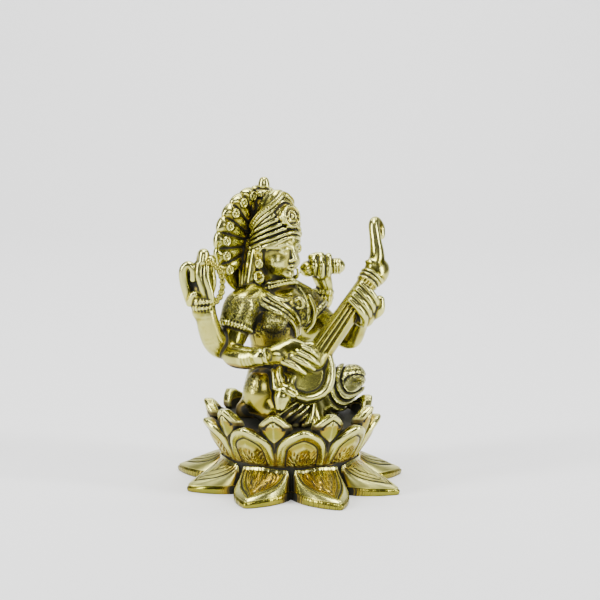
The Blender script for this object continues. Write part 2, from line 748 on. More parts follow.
def model_rosary_hand(clay):
    def spot(u, v, w):
        return hand_spot(ROSARY_HAND, u, v, w)

    clay.egg(spot(-0.2, -0.6, -2.4), (5.6, 3.0, 8.0), (0, 0, -47), blend=0.8)
    clay.strands(
        [
            ([(-0.5, -12, -1.5), (-0.2, -6, -1.6)], [3.4, 4.2], 1.2),
            (
                [
                    (-4.6, -7.5, -0.4), (-6.5, -1.2, 0), (-6.8, 3.6, 0.2), (-5, 5.6, 0.6), (-3.2, 4, 1.2),
                    (-3.3, 0.4, 1.2)
                ],
                [1.9, 1.8, 1.8, 1.7, 1.5, 1.2], 0.4
            ),
            ([(-0.6, 2, -2.6), (0.0, 8.4, -2.2), (0.6, 9.6, -0.4), (0.2, 7, 1.2)], [2.2, 2.2, 2.2, 1.6], 0.4),
            ([(3.0, 3, -2.6), (3.4, 7.2, -1.6), (3.2, 7.6, 0.2)], [1.9, 1.9, 1.6], 0.4),
            ([(-0.8, 6.0, 1.4), (-1.0, 1.5, 1.9), (0.6, -4, 1.7), (2.2, -8.6, 1.0)], [1.25, 1.3, 1.2, 1.4], 0.25),
            ([(1.8, 6.4, 1.2), (1.7, 1.2, 2.0), (3.3, -4.6, 1.8), (3.6, -8.8, 1.0)], [1.2, 1.3, 1.25, 1.5], 0.25),
            ([(-4.6, -8.8, 0.6), (-3, -5.2, 1.4), (-0.8, -7.2, 1.0)], [1.3, 1.2, 1.0], 0.4),
        ],
        spot
    )


def rosary_path():
    marks = [
        (2.4, 6.8, 1.6), (5.0, 6.0, 1.8), (6.9, 3.4, 1.6), (7.7, 0, 1.4), (7.5, -3.8, 1.4), (6.2, -7.0, 1.2),
        (3.9, -8.8, 1.6)
    ]
    return [hand_spot(ROSARY_HAND, *mark) for mark in marks]


def model_leaf_hand(clay):
    def spot(u, v, w):
        return hand_spot(LEAF_HAND, u, v, w)

    clay.strand([spot(2.6, -12, -1), spot(2.3, -6.4, -0.8), spot(1.0, -2.6, -0.2)], [2.6, 3.0, 3.7], 0.8)
    clay.egg(spot(0.4, -0.4, 0.2), (4.0, 3.2, 4.4), (0, -20, -47), blend=0.6)
    clay.strands([
        ([(-5.2, 2.3, 1.6), (7.0, 2.9, -1.6)], [2.4, 2.35], 0.2),
        ([(-5.0, 1.4, 2.4), (-4.2, 1.5, 2.1)], [3.2, 3.1], 0.25),
    ], spot)
    # Pattern on the leaf roll's two ends
    clay.strand([spot(6.0, 2.3, -1.2), spot(7.2, 2.3, -1.5)], [3.2, 3.0], 0.3)
    for u, w in ((4.6, -0.85), (5.7, -1.1), (6.8, -1.35), (7.9, -1.6)):
        ring = [
            spot(u, 2.3 + 3.1 * math.cos(t), w) + VIEW_TOWARD * 3.1 * math.sin(t)
            for t in np.linspace(0, 2 * math.pi, 13)
        ]
        clay.strand(ring, [0.35, 0.35], 0.1, 3)
    for k in range(14):
        a, far = k * 2.4, 0.62 * math.sqrt(k + 0.5)
        clay.egg(
            spot(
                -6.5 + far * math.cos(a) * 0.75, 1.4 + far * math.sin(a) * 1.15,
                4.6 + far * math.cos(a) * 0.3 - 0.25 * far
            ),
            (0.42, 0.42, 0.42), blend=0.1
        )
    # Fingers closed over the roll
    clay.strands([
        ([(-2.4, 0.4, 3.0), (-2.7, 3.2, 3.8), (-2.4, 6.0, 1.8), (-1.4, 6.5, -1.2)], [1.8, 1.9, 1.7, 1.5], 0.3),
        ([(0.2, -0.6, 3.0), (0.3, 3.2, 3.4), (0.5, 5.9, 1.2), (0.8, 6.0, -1.4)], [1.7, 1.8, 1.5, 1.3], 0.25),
        ([(2.9, -0.6, 1.8), (3.2, 2.8, 2.2), (3.3, 6.2, 0.6), (3.4, 6, -1.6)], [1.3, 1.4, 1.5, 1.2], 0.25),
        ([(-3.6, 6.0, 1.8), (0.4, 6.8, 0.6)], [1.5, 1.4], 0.3),
    ], spot)


def model_playing_hands(clay):
    v = veena_spot
    # Right hand over the sound box
    clay.strand([(-25.2, -17.4, 28), v(-5, -15.4, 4.2), v(-2.6, -12, 4.8)], [3.1, 3.0, 3.2], 1.0)
    backs = [
        ((-2.2, -10.6, 5.0), (-2.6, -7.0, 5.6)), ((0.6, -10.6, 5.0), (1.0, -7, 5.8)),
        ((2.6, -10.6, 4.8), (3.4, -6.8, 5.6)), ((3.6, -11, 4.2), (5.6, -6.8, 5.2))
    ]
    for (a, b) in backs:
        clay.strand([v(-4.0, -14.4, 4.2), v(*a), v(*b)], [2.8, 2.4, 1.7], 1.4)
    clay.strands([
        ([(-3.6, -9, 6.2), (-3.1, -4.5, 6.9), (-2.5, -0.2, 5.0)], [1.55, 1.3, 0.95], 0.2),
        ([(-0.8, -7.4, 6.4), (0.1, -2.2, 7.0), (0.9, 1.7, 5.0)], [1.5, 1.25, 0.95], 0.2),
        ([(2.1, -6.9, 6.4), (3.0, -1.6, 6.9), (3.6, 2.1, 5.0)], [1.45, 1.2, 0.95], 0.2),
        ([(5.0, -6.4, 6.0), (5.7, -3, 6.4), (5.9, -0.3, 5.0)], [1.35, 1.1, 0.9], 0.2),
    ], v)
    # Left hand round the neck
    clay.egg(v(34.2, 5.4, -1.8), (4.2, 4.2, 6.2), (0, 40, 0), blend=1.0)
    clay.strand([(25, -23.4, 40), v(32, 7.0, -1.6)], [3.4, 3.8], 1.2)
    for finger in range(4):
        a = 29.9 + 2.75 * finger
        clay.strand(
            [v(a - 0.4, 8.0, -0.6), v(a + 0.2, 6.6, 3.4), v(a + 1.0, 3.2, 5.4), v(a + 2.0, -1.4, 5.3)],
            [1.5, 1.55, 1.45, 1.2], 0.18
        )
    clay.strand([v(35, 8.4, -2.4), v(37.6, 9.4, -0.6), v(40.4, 8.0, 1.0)], [2.7, 2.7, 2.0], 0.6)


def sound_box(along, across, out):
    steps = np.linspace(0, 1, 15)
    half = 10.4 * np.sin(np.pi * steps**0.86) ** 0.62 + 1.6
    half[0] = half[-1] = 1.6
    at = -13 + 25.5 * steps
    corners = [(a, h) for a, h in zip(at, half)] + [(a, -h) for a, h in zip(at[::-1], half[::-1])]
    edge = outline_distance(along, across, corners)
    inward = -edge
    top = 1.5 + 1.9 * ridge(inward - 2.0, 1.8) - 0.5 * ridge(inward - 4.6, 0.45) + 0.05 * np.clip(inward - 5, 0, 6)
    bottom = -4.6 + 3.4 * fall(inward, 0, 6)
    slab = np.maximum(out - top, bottom - out)
    return -soft_min(-edge, -slab, 1.6)


SHIELD = [(-7.3, -10.8), (-4.5, -2.6), (-8.7, -1.0), (-12.6, -6.6)]


def string_shield(along, across, out):
    """Smooth plate at the tail of the sound box."""
    edge = outline_distance(along + 0 * across, across + 0 * along, SHIELD) - 0.5
    return -soft_min(-edge, -np.maximum(out - 2.3, -3.2 - out), 1.2)


def model_veena(clay):
    v = veena_spot
    clay.veena_part(sound_box, (-14, -13, -6), (14, 13, 5), 0.5)
    # Tail knob, its collar and the shield the strings end on
    clay.strand([v(-11.2, -2.0, 0.6), v(-13.6, -1.7, 0.8), v(-17.4, -0.2, 0.5)], [3.9, 3.5, 2.0], 0.3)
    clay.strand([v(-12.6, -6.0, 1.2), v(-12.4, -3, 3.6), v(-11.6, 1.2, 3.2)], [1.0, 1.1, 1.0], 0.25)
    clay.strand([v(-11.0, -6.2, 1.2), v(-10.8, -3, 3.4), v(-10.0, 1.2, 3.0)], [0.9, 0.95, 0.9], 0.25)
    clay.veena_part(string_shield, (-15, -13, -4), (-2, 2, 5), 0.4)
    for share in (0.3, 0.5, 0.7, 0.9):
        high = [SHIELD[0][k] + (SHIELD[1][k] - SHIELD[0][k]) * share for k in (0, 1)]
        low = [SHIELD[3][k] + (SHIELD[2][k] - SHIELD[3][k]) * share for k in (0, 1)]
        near = [high[k] + (low[k] - high[k]) * 0.35 for k in (0, 1)]
        clay.strand([v(*near, 2.5), v(*low, 2.5)], [0.4, 0.5], 0.12)
        clay.egg(v(*low, 2.7), (0.6, 0.6, 0.6), blend=0.1)
    # Neck, bands, bulge and swan scroll
    clay.strand([v(6, 0, 0.2), v(28, 0.4, 0.3), v(50, 0.2, 0.4)], [4.9, 4.3, 3.6], 0.6)
    clay.strand([v(43.8, 0.2, 0.4), v(48.6, 0.4, 0.4)], [3.9, 4.1], 0.3)
    for along, size, girth in ((43.6, 4.0, 0.5), (45.4, 4.25, 0.42), (47.0, 4.35, 0.42)):
        ring = [v(along, size * math.cos(t) + 0.2, 0.4 + size * math.sin(t)) for t in np.linspace(0, 2 * math.pi, 13)]
        clay.strand(ring, [girth, girth], 0.12, 3)
    clay.egg(v(49.8, 1.6, 0.2), (4.4, 3.8, 5.8), (0, 44, 0), blend=1.2)
    clay.strand([v(50.4, -4.6, 1.2), v(51.2, -3.4, 2.8), v(51.6, -1.0, 3.6)], [0.7, 0.8, 0.6], 0.2)
    clay.strand(
        [
            v(50, -0.6, 0.6), v(55, -2.4, 0.6), v(60.4, -6.6, 0.6), v(65.2, -10.4, 0.4), v(67.6, -10.4, -1.0),
            v(67.0, -7.8, -2.4), v(64.6, -6.0, -2.6)
        ],
        [3.8, 3.0, 2.3, 2.1, 2.0, 1.95, 1.9], 0.4,
    )
    clay.egg(v(65.9, -8.9, -1.0), (1.9, 1.7, 2.1), blend=0.3)


def veena_strings():
    v = veena_spot
    return [
        [v(9, across, 5.2), v(27, across * 0.86, 4.75), v(43.4, across * 0.72, 4.2)]
        for across in (-2.7, -0.9, 0.9, 2.7)
    ]


def model_head(clay):
    clay.stack(
        [
            (54.2, -3.6, 2.2, 2.6), (56, -3.4, 4.6, 5.0), (59, -2.8, 6.6, 7.0), (62, -2.2, 7.7, 7.8),
            (66, -1.8, 8.1, 8.2), (71, -1.2, 8.2, 8.4)
        ],
        HEAD_SHIFT, 1.4,
    )
    s = HEAD_SHIFT
    # Neck
    clay.strand([(s * 0.5, -0.6, 50), (s, -0.8, 57)], [4.8, 4.6], 1.2)
    clay.egg((s, -8.0, 55.8), (2.3, 1.6, 1.5), blend=1.4)
    for side in (-1, 1):
        clay.egg((s + side * 4.2, -6.4, 60.6), (2.9, 2.5, 2.8), blend=1.6)
        clay.egg((s + side * 3.3, -8.3, 65.0), (1.9, 1.15, 0.95), (0, 0, side * 14), blend=0.35)
        lid = [(s + side * 1.3, -9.3, 64.8), (s + side * 3.2, -9.65, 65.9), (s + side * 5.3, -8.3, 65.1)]
        clay.strand(lid, [0.26, 0.36, 0.26], 0.2)
        under = [(s + side * 1.4, -9.2, 64.6), (s + side * 3.3, -9.35, 64.0), (s + side * 5.2, -8.3, 64.8)]
        clay.strand(under, [0.2, 0.28, 0.2], 0.2)
        brow = [(s + side * 1.1, -9.9, 66.9), (s + side * 3.4, -9.8, 67.9), (s + side * 6.2, -8.0, 66.9)]
        clay.strand(brow, [0.3, 0.42, 0.26], 0.3)
        clay.egg((s + side * 1.15, -10.3, 61.3), (0.85, 0.9, 0.7), blend=0.4)
    clay.strand([(s, -9.7, 66.8), (s, -10.4, 64.4), (s, -11.4, 62.0)], [0.62, 0.72, 1.0], 0.7)
    upper = [
        (s - 2.2, -9.2, 59.0), (s - 0.8, -10.2, 59.5), (s, -10.3, 59.3), (s + 0.8, -10.2, 59.5), (s + 2.2, -9.2, 59.0)
    ]
    clay.strand(upper, [0.22, 0.5, 0.46, 0.5, 0.22], 0.25)
    clay.strand([(s - 1.8, -9.3, 58.5), (s, -10.1, 57.9), (s + 1.8, -9.3, 58.5)], [0.25, 0.66, 0.25], 0.25)
    clay.egg((s, -10.1, 69.2), (0.6, 0.5, 0.6), blend=0.2)
    # Ears and their ornaments
    for side in (-1, 1):
        x = s + side * 8.6
        clay.egg((x, 0.2, 63), (1.5, 2.3, 4.6), blend=0.8)
        clay.hoop((x + side * 0.9, -0.4, 66.0), 1.7, 0.5, (0, 90, 0), blend=0.2)
        clay.egg((x + side * 1.0, -0.4, 66.0), (0.7, 0.8, 0.8), blend=0.2)
        clay.hoop((x + side * 1.1, -1.6, 60.2), 1.5, 0.52, (0, 90, 0), blend=0.2)
        clay.egg((x + side * 1.1, -1.6, 60.2), (0.8, 0.75, 0.75), blend=0.2)
        arc = [
            (x + side * 1.3, -1.8 + 1.95 * math.sin(t), 55.2 + 1.95 * math.cos(t))
            for t in np.radians(np.arange(0, 361, 30))
        ]
        clay.strand(arc, [0.4, 0.5, 0.75, 0.95, 0.75, 0.5, 0.4], 0.12, 3)
    # Hair gathered behind the ears and down the back
    clay.stack(
        [
            (30, 8, 6, 2.6), (38, 8.2, 9.5, 3.4), (48, 7, 12, 4.8), (55, 4.6, 10.2, 6.4), (66, 3.6, 9, 6.4),
            (74, 2, 8, 6)
        ],
        0, 1.2
    )
    for side in (-1, 1):
        for i in range(4):
            y = 1.4 + 2.2 * i
            top = (s + side * (8.6 - 0.5 * i), y, 68)
            clay.strand(
                [
                    top, (s + side * (9.6 - 0.3 * i), y + 0.4, 60), (side * (11.6 - 0.8 * i), y + 0.8, 52),
                    (side * (11.4 - 1.4 * i), y + 2, 45)
                ],
                [1.2, 1.5, 1.5, 0.8], 0.25
            )
    for i in range(-2, 3):
        clay.strand(
            [(i * 3.2, 9.4, 60), (i * 3.6, 11, 50), (i * 3.0, 11.4, 40), (i * 1.8, 10.2, 31)], [1.6, 1.9, 1.6, 1.0],
            0.3
        )


# The crown's middle from front to back, its medallion's height and the foot of its finial
CROWN_MIDDLE = -0.8
MEDAL_HEIGHT = 78.3
FINIAL_FOOT = (-0.5, 5.9, 78.5)

# Heights of the crown's edge and of its four brow bands, at turns from the front in degrees
CROWN_TURNS = [0, 14, 30, 64, 92, 130, 180]
CROWN_HEIGHTS = [
    [86.9, 86.4, 85.4, 82.4, 79.2, 73.2, 70],
    [79.4, 78.9, 78.0, 75.6, 73.3, 70.2, 69],
    [76.9, 76.5, 75.7, 73.4, 71.1, 68.4, 67],
    [74.6, 74.3, 73.6, 71.4, 69.4, 66.6, 65.4],
    [72.4, 72.0, 71.2, 69.2, 67.4, 65.0, 63.8],
]


def crown_lines(turn):
    return [np.interp(turn, CROWN_TURNS, heights) for heights in CROWN_HEIGHTS]


def crown_reach(height):
    return np.interp(height, [64, 68, 72, 76, 79, 83, 86.5, 88], [9.6, 9.6, 9.1, 8.7, 7.9, 6.1, 3.9, 1.8])


def crown_route(which, lift, turns):
    route = []
    for turn in turns:
        height = float(crown_lines(abs(turn))[which])
        reach = float(crown_reach(height)) + lift
        angle = math.radians(turn)
        route.append((HEAD_SHIFT + reach * math.sin(angle), CROWN_MIDDLE - reach * math.cos(angle), height))
    return route


def model_crown(clay):
    s = HEAD_SHIFT
    levels = [
        (z, CROWN_MIDDLE, float(crown_reach(z)), float(crown_reach(z)) * 0.98)
        for z in (66, 68, 72, 76, 79, 83, 86.5)
    ]
    clay.stack(levels + [(88, -1.4, 1.8, 1.8)], s, 0.8)
    around = np.linspace(-150, 150, 21)
    wide = np.linspace(-134, 134, 19)
    clay.strand(lowered(crown_route(0, 0.1, wide), 0.5), [0.9, 1.3, 1.35, 1.3, 0.9], 0.3, 3)
    clay.strand(lowered(crown_route(0, 0.3, wide), 2.5), [0.7, 0.9, 0.95, 0.9, 0.7], 0.2, 3)
    bands = ((-0.05, 0.8, 0.9), (0.05, 0.85, 0.95), (0.2, 0.85, 0.95), (-0.1, 0.6, 0.75))
    for which, (lift, end, middle) in enumerate(bands, 1):
        clay.strand(crown_route(which, lift, around), [end, middle, end], 0.15, 3)
    for side in (-1, 1):
        # Rolled end of the edge behind the head, and a small raised triangle beside the medallion
        clay.egg((s + side * 6.6, 5.2, 74.4), (1.5, 1.5, 1.7), blend=0.4)
        corners = [
            (s + side * 5.2, -7.6, 79.4), (s + side * 4.0, -8.3, 81.2), (s + side * 3.9, -8.6, 79.3),
            (s + side * 5.2, -7.6, 79.4)
        ]
        clay.strand(corners, [0.35, 0.35], 0.12, 3)
        clay.egg((s + side * 4.4, -8.2, 79.9), (0.4, 0.4, 0.4), blend=0.1)
        # Locks parted from the middle of the brow
        for i in range(2):
            lock = [
                (s + side * 0.4, -9.9, 70.4 - 0.2 * i), (s + side * 3.4, -9.7 + 0.2 * i, 70.5 - 0.8 * i),
                (s + side * 6.4, -7.7, 68.9 - 0.9 * i), (s + side * 8.3, -4.2, 66.4 - 1.0 * i)
            ]
            clay.strand(lock, [0.4, 0.5, 0.45, 0.3], 0.15)
    # Medallion on the front plate
    medal = np.array([s, -9.2, MEDAL_HEIGHT])
    out = np.array([0.0, -0.97, 0.242])
    tilt, bead_ring = 76, 2.68
    clay.turned([(0.0, -1.8), (4.5, -1.6), (4.5, 0.2), (0.0, 0.3)], tuple(medal), tilt, 0.25)
    clay.hoop(medal + out * 0.3, 3.95, 0.55, (tilt, 0, 0), blend=0.12)
    clay.hoop(medal + out * 0.35, 1.9, 0.4, (tilt, 0, 0), blend=0.12)
    clay.egg(medal + out * 0.5, (0.9, 0.8, 0.9), blend=0.12)
    for k in range(8):
        turn = math.pi / 4 * k
        aside, up = math.cos(turn) * bead_ring, math.sin(turn)
        bead = medal + out * 0.4 + np.array([aside, -out[2] * up * bead_ring, -out[1] * up * bead_ring])
        clay.egg(bead, (0.32, 0.32, 0.32), blend=0.1)
    # Drop on the brow
    clay.strand([(s - 1.1, -9.9, 71.4), (s, -10.3, 70.2), (s + 1.1, -9.9, 71.4)], [0.35, 0.4, 0.35], 0.12)
    # Finial in steps behind the crown
    clay.turned(
        [
            (0, -3), (3.6, -2.6), (4.0, -1.4), (3.9, -0.2), (3.1, 0.4), (3.1, 0.9), (3.9, 1.8), (4.0, 3.8),
            (3.6, 5.2), (2.7, 5.7), (2.7, 6.1), (3.4, 6.7), (3.5, 7.9), (3.1, 8.8), (1.9, 9.3), (1.9, 9.6),
            (2.35, 10.1), (2.2, 11.7), (1.75, 13.2), (1.1, 13.9), (0, 14.1)
        ],
        FINIAL_FOOT, 0, 0.3,
    )


def lowered(route, drop):
    return [(x, y, z - drop) for x, y, z in route]


def crown_engraving(x, y, z):
    turn = np.degrees(np.arctan2(np.abs(x - HEAD_SHIFT), CROWN_MIDDLE - y))
    run = np.arctan2(x - HEAD_SHIFT, CROWN_MIDDLE - y) * 9
    edge, first, second, third, fourth = crown_lines(turn)
    hatch = ridge(((run / 1.05) % 1) - 0.5, 0.22)
    hatch_fine = ridge((((run + (z - edge) * 0.6) / 0.95) % 1) - 0.5, 0.22)
    on_edge = step_up(z - edge, -1.6, -1.2) * fall(z - edge, 0.5, 0.9) * 0.4 * hatch_fine
    split = ridge(z - edge + 1.65, 0.26) * 0.4
    under_edge = ridge(z - edge + 3.7, 0.42) * 0.7
    above_first = ridge(z - first - 1.25, 0.3) * 0.5
    first_hatch = step_up(z - first, -0.7, -0.4) * fall(z - first, 0.4, 0.7) * 0.3 * hatch
    third_hatch = ridge(z - third, 0.7) * 0.22 * hatch
    between = (ridge(z - (first + second) / 2, 0.36) + ridge(z - (second + third) / 2, 0.36)) * 0.7
    fringe = ridge(z - (third + fourth) / 2, 0.4) * 0.7
    low = ridge(z - fourth + 1.0, 0.3) * 0.45
    medal = np.hypot(x - HEAD_SHIFT, (z - MEDAL_HEIGHT) * 1.03)
    front = fall(y, -7.5, -6.5) * fall(medal, 4.5, 5.0)
    round_medal = ridge(medal - 5.2, 0.4) * 0.8 * fall(y, -5.5, -4)
    finial = step_up(y, 2.5, 4.5) * step_up(z, 74, 76)
    cuts = (
        on_edge + split + under_edge + above_first + first_hatch + third_hatch + between + fringe + low + round_medal
    )
    return cuts * (1 - finial) * (1 - front) * fall(y, 4.4, 5.4)


def finial_engraving(x, y, z):
    turn = np.arctan2(x - FINIAL_FOOT[0], -(y - FINIAL_FOOT[1])) * 4
    return ridge(((turn / 1.1) % 1) - 0.5, 0.22) * 0.35 * (ridge(z - 81.4, 1.3) + ridge(z - 86, 0.9))


def model_halo(clay):
    centre = np.array([0, 9.8, 66])
    lobes, lobe_reach, lowest_lobe = 22, 24, 52
    clay.turned([(0, -2.0), (20, -2.0), (20.6, -1.4), (20, -0.8), (0, -0.8)], tuple(centre), 90, 0.3)
    for radius, girth in ((8.5, 0.5), (16.4, 0.6)):
        clay.hoop(centre + np.array([0, 2.0, 0]), radius, girth, (90, 0, 0), blend=0.2)
    for i in range(lobes):
        angle = math.radians(360 / lobes * (i + 0.5))
        way = np.array([math.cos(angle), 0, math.sin(angle)])
        on_back = np.array([0, 1.9, 0])
        clay.strand([centre + way * 9.5 + on_back, centre + way * 15.4 + on_back], [0.3, 0.8], 0.2)
        if centre[2] + way[2] * lobe_reach < lowest_lobe:
            continue
        start = centre + way * 6 + np.array([0, -0.8, 0])
        middle = centre + way * 14.5 + np.array([0, -0.9, 0])
        bud = centre + way * 19.4 + np.array([0, -0.3, 0])
        end = centre + way * 21.4 + np.array([0, 0.1, 0])
        aside = np.array([-way[2], 0, way[0]])
        clay.strand([start, middle, bud, end - way * 0.8], [1.6, 2.6, 3.1, 2.5], 0.12, 4)
        clay.strand([end - aside * 1.5 - way * 0.3, end + aside * 1.5 - way * 0.3], [1.9, 1.9], 0.5, 4)
        clay.strand([start + np.array([0, -1.0, 0]), middle + np.array([0, -1.9, 0])], [0.4, 0.5], 0.3, 4)
        rose = bud + way * 0.6 + np.array([0, -3.2, 0])
        clay.hoop(rose, 1.55, 0.42, (90, 0, 0), blend=0.12)
        clay.egg(rose + np.array([0, -0.1, 0]), (0.6, 0.6, 0.6), blend=0.1)
        for k in range(6):
            turn = math.pi / 3 * k
            petal = rose + np.array([math.cos(turn) * 0.95, 0.1, math.sin(turn) * 0.95])
            clay.egg(petal, (0.3, 0.3, 0.3), blend=0.1)


def garland_marks():
    """Ropes of the garland, right and up in the three-quarter view: her right side, then her left."""
    return [
        [(-10.6, 52.3), (-5.2, 50.0), (-1.0, 47.0), (3.4, 44.6), (7.1, 41.4), (9.3, 37.4), (9.6, 31.4)],
        [(-9.9, 50.0), (-5.8, 46.0), (-2.1, 43.6), (2.3, 41.6), (6.0, 38.0), (7.8, 34.4), (8.2, 31.0)],
        [(10.8, 51.6), (13.4, 46.6), (15.4, 41.4), (15.0, 36.4), (12.4, 32.8)],
        [(9.6, 49.4), (11.6, 46), (12.8, 42.4), (12.8, 38.4), (11.6, 34.6)],
    ]


def model_jewels(clay):
    clay.hoop((0, -1, 51.8), 6.4, 0.7, (-16, 0, 0), 1.05, 0.2)
    ticked_band(clay, (0, -1.3, 50.0), 7.6, 0.85, (-20, 0, 0))
    collar = [(-4.8, 50.3), (0.5, 47.2), (5.2, 46.4), (8.9, 49.2)]
    clay.strand(clay.laid(collar, 0.15), [0.6, 0.75, 0.6], 0.15)
    for marks, size in zip(garland_marks(), (0.95, 1.0, 0.95, 0.8)):
        clay.strand(clay.laid(marks, 0.25), [size * 0.8, size, size, size * 0.8], 0.15)
    middle = [((a[0] + b[0]) / 2, (a[1] + b[1]) / 2) for a, b in zip(*garland_marks()[:2])]
    clay.strand(clay.laid(middle, 0.15), [0.6, 0.7, 0.6], 0.12)
    pendant = clay.laid([(9.3, 44.8)], 0.2)[0]
    ring = [
        pendant + VIEW_RIGHT * 1.8 * math.cos(t) + np.array([0, 0, 1.8 * math.sin(t)]) + VIEW_TOWARD * 1.0
        for t in np.radians(np.arange(0, 361, 30))
    ]
    clay.egg(pendant - VIEW_TOWARD * 0.6, (2.4, 2.0, 2.4), blend=0.3)
    clay.strand(ring, [0.85, 0.85], 0.12, 3)


def model_pleats(clay):
    """Ribs of the skirt that fan out below the sound box, with the plain flap beside them."""
    ribs = [
        [(13.0, 9.8), (8.5, 6.8), (3.2, 3.1)], [(13.4, 7.7), (9.3, 4.7), (4.6, 1.3)],
        [(13.6, 5.5), (10.6, 2.9), (7.0, 0.6)], [(12.6, 11.6), (7.6, 9.0), (2.2, 5.6)]
    ]
    for rib in ribs:
        line = clay.laid(rib, 0.1)
        clay.strand(line, [0.6, 0.8, 0.9], 0.15)
        path, _ = smooth_path(line, [1, 1], 5)
        for spot in path[1:-1]:
            clay.egg(spot + VIEW_TOWARD * 0.55, (0.42, 0.42, 0.42), blend=0.12)
    clay.strand(clay.laid([(15.2, 9.8), (14.6, 5.4), (13.2, 1.6)], 0.2), [0.9, 1.2, 1.3], 0.2)


def cloth_share(points):
    """Where the engraved blouse and skirt are: 1 on cloth, 0 on skin and smooth metal."""
    x, y, z = points.T
    u = x * VIEW_RIGHT[0] + y * VIEW_RIGHT[1]
    behind_veena = step_up(y, -14.5, -13)
    blouse = step_up(z, 32, 33) * fall(z, 45, 48) * fall(np.abs(x), 11.5, 12.5) * fall(y, 5, 7)
    sleeves = (
        step_up(z, 38.4, 39) * fall(z, 47, 49) * step_up(np.abs(x), 11, 12) * fall(np.abs(x), 24, 25) * fall(y, 9, 11)
    )
    thigh = step_up(x, 15, 17) * step_up(z, 5.5, 7.0) * fall(z, 20, 21) * step_up(y, -20.5, -19.5)
    knee = fall(u, -7.5, -5) * step_up(z, 13.5, 15.5) * fall(z, 22.6, 23.4) * fall(x, -13, -11) * fall(y, 2, 4)
    return np.clip(np.maximum.reduce([blouse * behind_veena, sleeves * behind_veena, thigh, knee]), 0, 1)


def bare_cloth(clay, points):
    """The cloth between the jewels that lie on it."""
    raised = step_up(clay.read(clay.body, points), 0.3, 0.6) * (np.abs(points[:, 0]) < 11.5)
    return cloth_share(points) * (1 - raised)


def sooty_share(points):
    """Places that stay dark: the waist behind the forearm and the foot of the figure down in the bowl."""
    x, y, z = points.T
    waist = step_up(z, 20, 23) * fall(z, 33, 36) * fall(np.abs(x), 11.5, 13.5) * fall(y, 0, 3) * step_up(y, -15, -13)
    foot = fall(z, 0.5, 4.5) * step_up(y, -22, -18)
    haunch = fall(x, -12, -8) * fall(z, 3.5, 7.5) * 0.85
    under_arm = fall(x, -10, -7) * step_up(y, -20, -16) * step_up(z, 19.5, 21) * fall(z, 23, 25) * 0.75
    return np.clip(np.maximum.reduce([waist * 0.22, foot * 0.6, haunch, under_arm]), 0, 1)


def rubbed_share(points):
    """Where hands and cloths keep the brass bright: the face and the open front of the sound box."""
    x, y, z = points.T
    face = fall(np.abs(x - HEAD_SHIFT), 8.4, 9.4) * fall(y, -2.6, -1.0) * step_up(z, 54, 55.5) * fall(z, 68.5, 70)
    q = points - VEENA_MIDDLE
    along, across, out = q @ VEENA_ALONG, q @ VEENA_ACROSS, q @ VEENA_FACE
    box = (
        step_up(along, -9, -7.5) * fall(along, 9, 10.5) * step_up(out, 0.2, 0.8) * step_up(across, -5, -3)
        * fall(across, 9, 10.5)
    )
    return np.clip(np.maximum(face * 0.9, box * 0.85), 0, 1)


def figure_engraving(b, where):
    """Fine punched stipple of the blouse and skirt."""
    return b.mark("cloth") * b.noise(where, 1250.0, 1.0).rising(0.47, 0.56)


def length(name, description, default):
    return FloatProperty(
        name=name, description=description, default=default, min=0.0001, subtype="DISTANCE", unit="LENGTH"
    )


def colour(name, description, *default):
    return FloatVectorProperty(name=name, description=description, subtype="COLOR", size=4, default=(*default, 1))


class GoddessSizes(bpy.types.PropertyGroup):
    """Sizes that a maker would change."""

    grain: length("Clay grain", "Spacing of the modelling grid", 0.00034)
    quick_grain: length("Quick clay grain", "Spacing of the grid for a quick look", 0.00055)
    most_faces: IntProperty(name="Most triangles", description="Most triangles of one casting", default=192000)
    bead: length("Rosary bead radius", "Radius of one bead of the rosary", 0.0013)
    string: length("String radius", "Radius of one string of the veena", 0.0005)


class GoddessFinish(bpy.types.PropertyGroup):
    """Colours of the brass."""

    polished: colour("Polished", "Polished face of the brass", 0.235, 0.226, 0.029)
    golden: colour("Golden", "Warmer clouds in the polish", 0.315, 0.263, 0.0265)
    bright: colour("Bright edges", "Rubbed edges", 0.7, 0.69, 0.23)
    deep: colour("Deep", "Brass that lies in shade", 0.38, 0.22, 0.008)
    patina: colour("Patina", "Dark dirt in the recesses", 0.012, 0.012, 0.005)
    floor: colour("Floor", "Pale floor and backdrop", 0.9, 0.9, 0.9)


def grain_of(context):
    sizes = context.scene.goddess_sizes
    return (sizes.grain) / MM


def finish_casting(clay, name, node, shift, most, material, marks=None, dark=None, polish=None):
    spots, faces = clay.skin()
    piece = place_object(name, new_mesh(name, spots, faces))
    piece = thinned(piece, most)
    places = corner_places(piece.data)
    hollow, shade = clay.hollows(places)
    if dark is not None:
        sooty = dark(places)
        shade = np.maximum(shade, sooty)
        hollow = np.clip(hollow + 0.35 * sooty, 0, 1)
    if polish is not None:
        rubbed = polish(places)
        write_marks(piece.data, "rubbed", rubbed)
        shade = shade * (1 - rubbed)
        hollow = np.where(hollow > 0.5, 0.5 + (hollow - 0.5) * (1 - 0.25 * rubbed), hollow)
    write_marks(piece.data, "hollow", hollow)
    write_marks(piece.data, "shade", shade)
    for mark, share in (marks or {}).items():
        write_marks(piece.data, mark, share(places))
    piece.data.transform(Matrix.Translation([value * MM for value in shift]))
    smooth_shaded(piece.data)
    piece.data.materials.clear()
    piece.data.materials.append(material)
    carry(piece, node)
    return piece


class GODDESS_OT_stage(bpy.types.Operator):
    """Lays the pale floor and backdrop, the soft lights and the camera"""

    bl_idname = "goddess.stage"
    bl_label = "Floor, light and camera"

    def execute(self, context):
        finish = context.scene.goddess_finish
        lay_floor(finish)
        set_lights()
        set_camera()
        return {"FINISHED"}


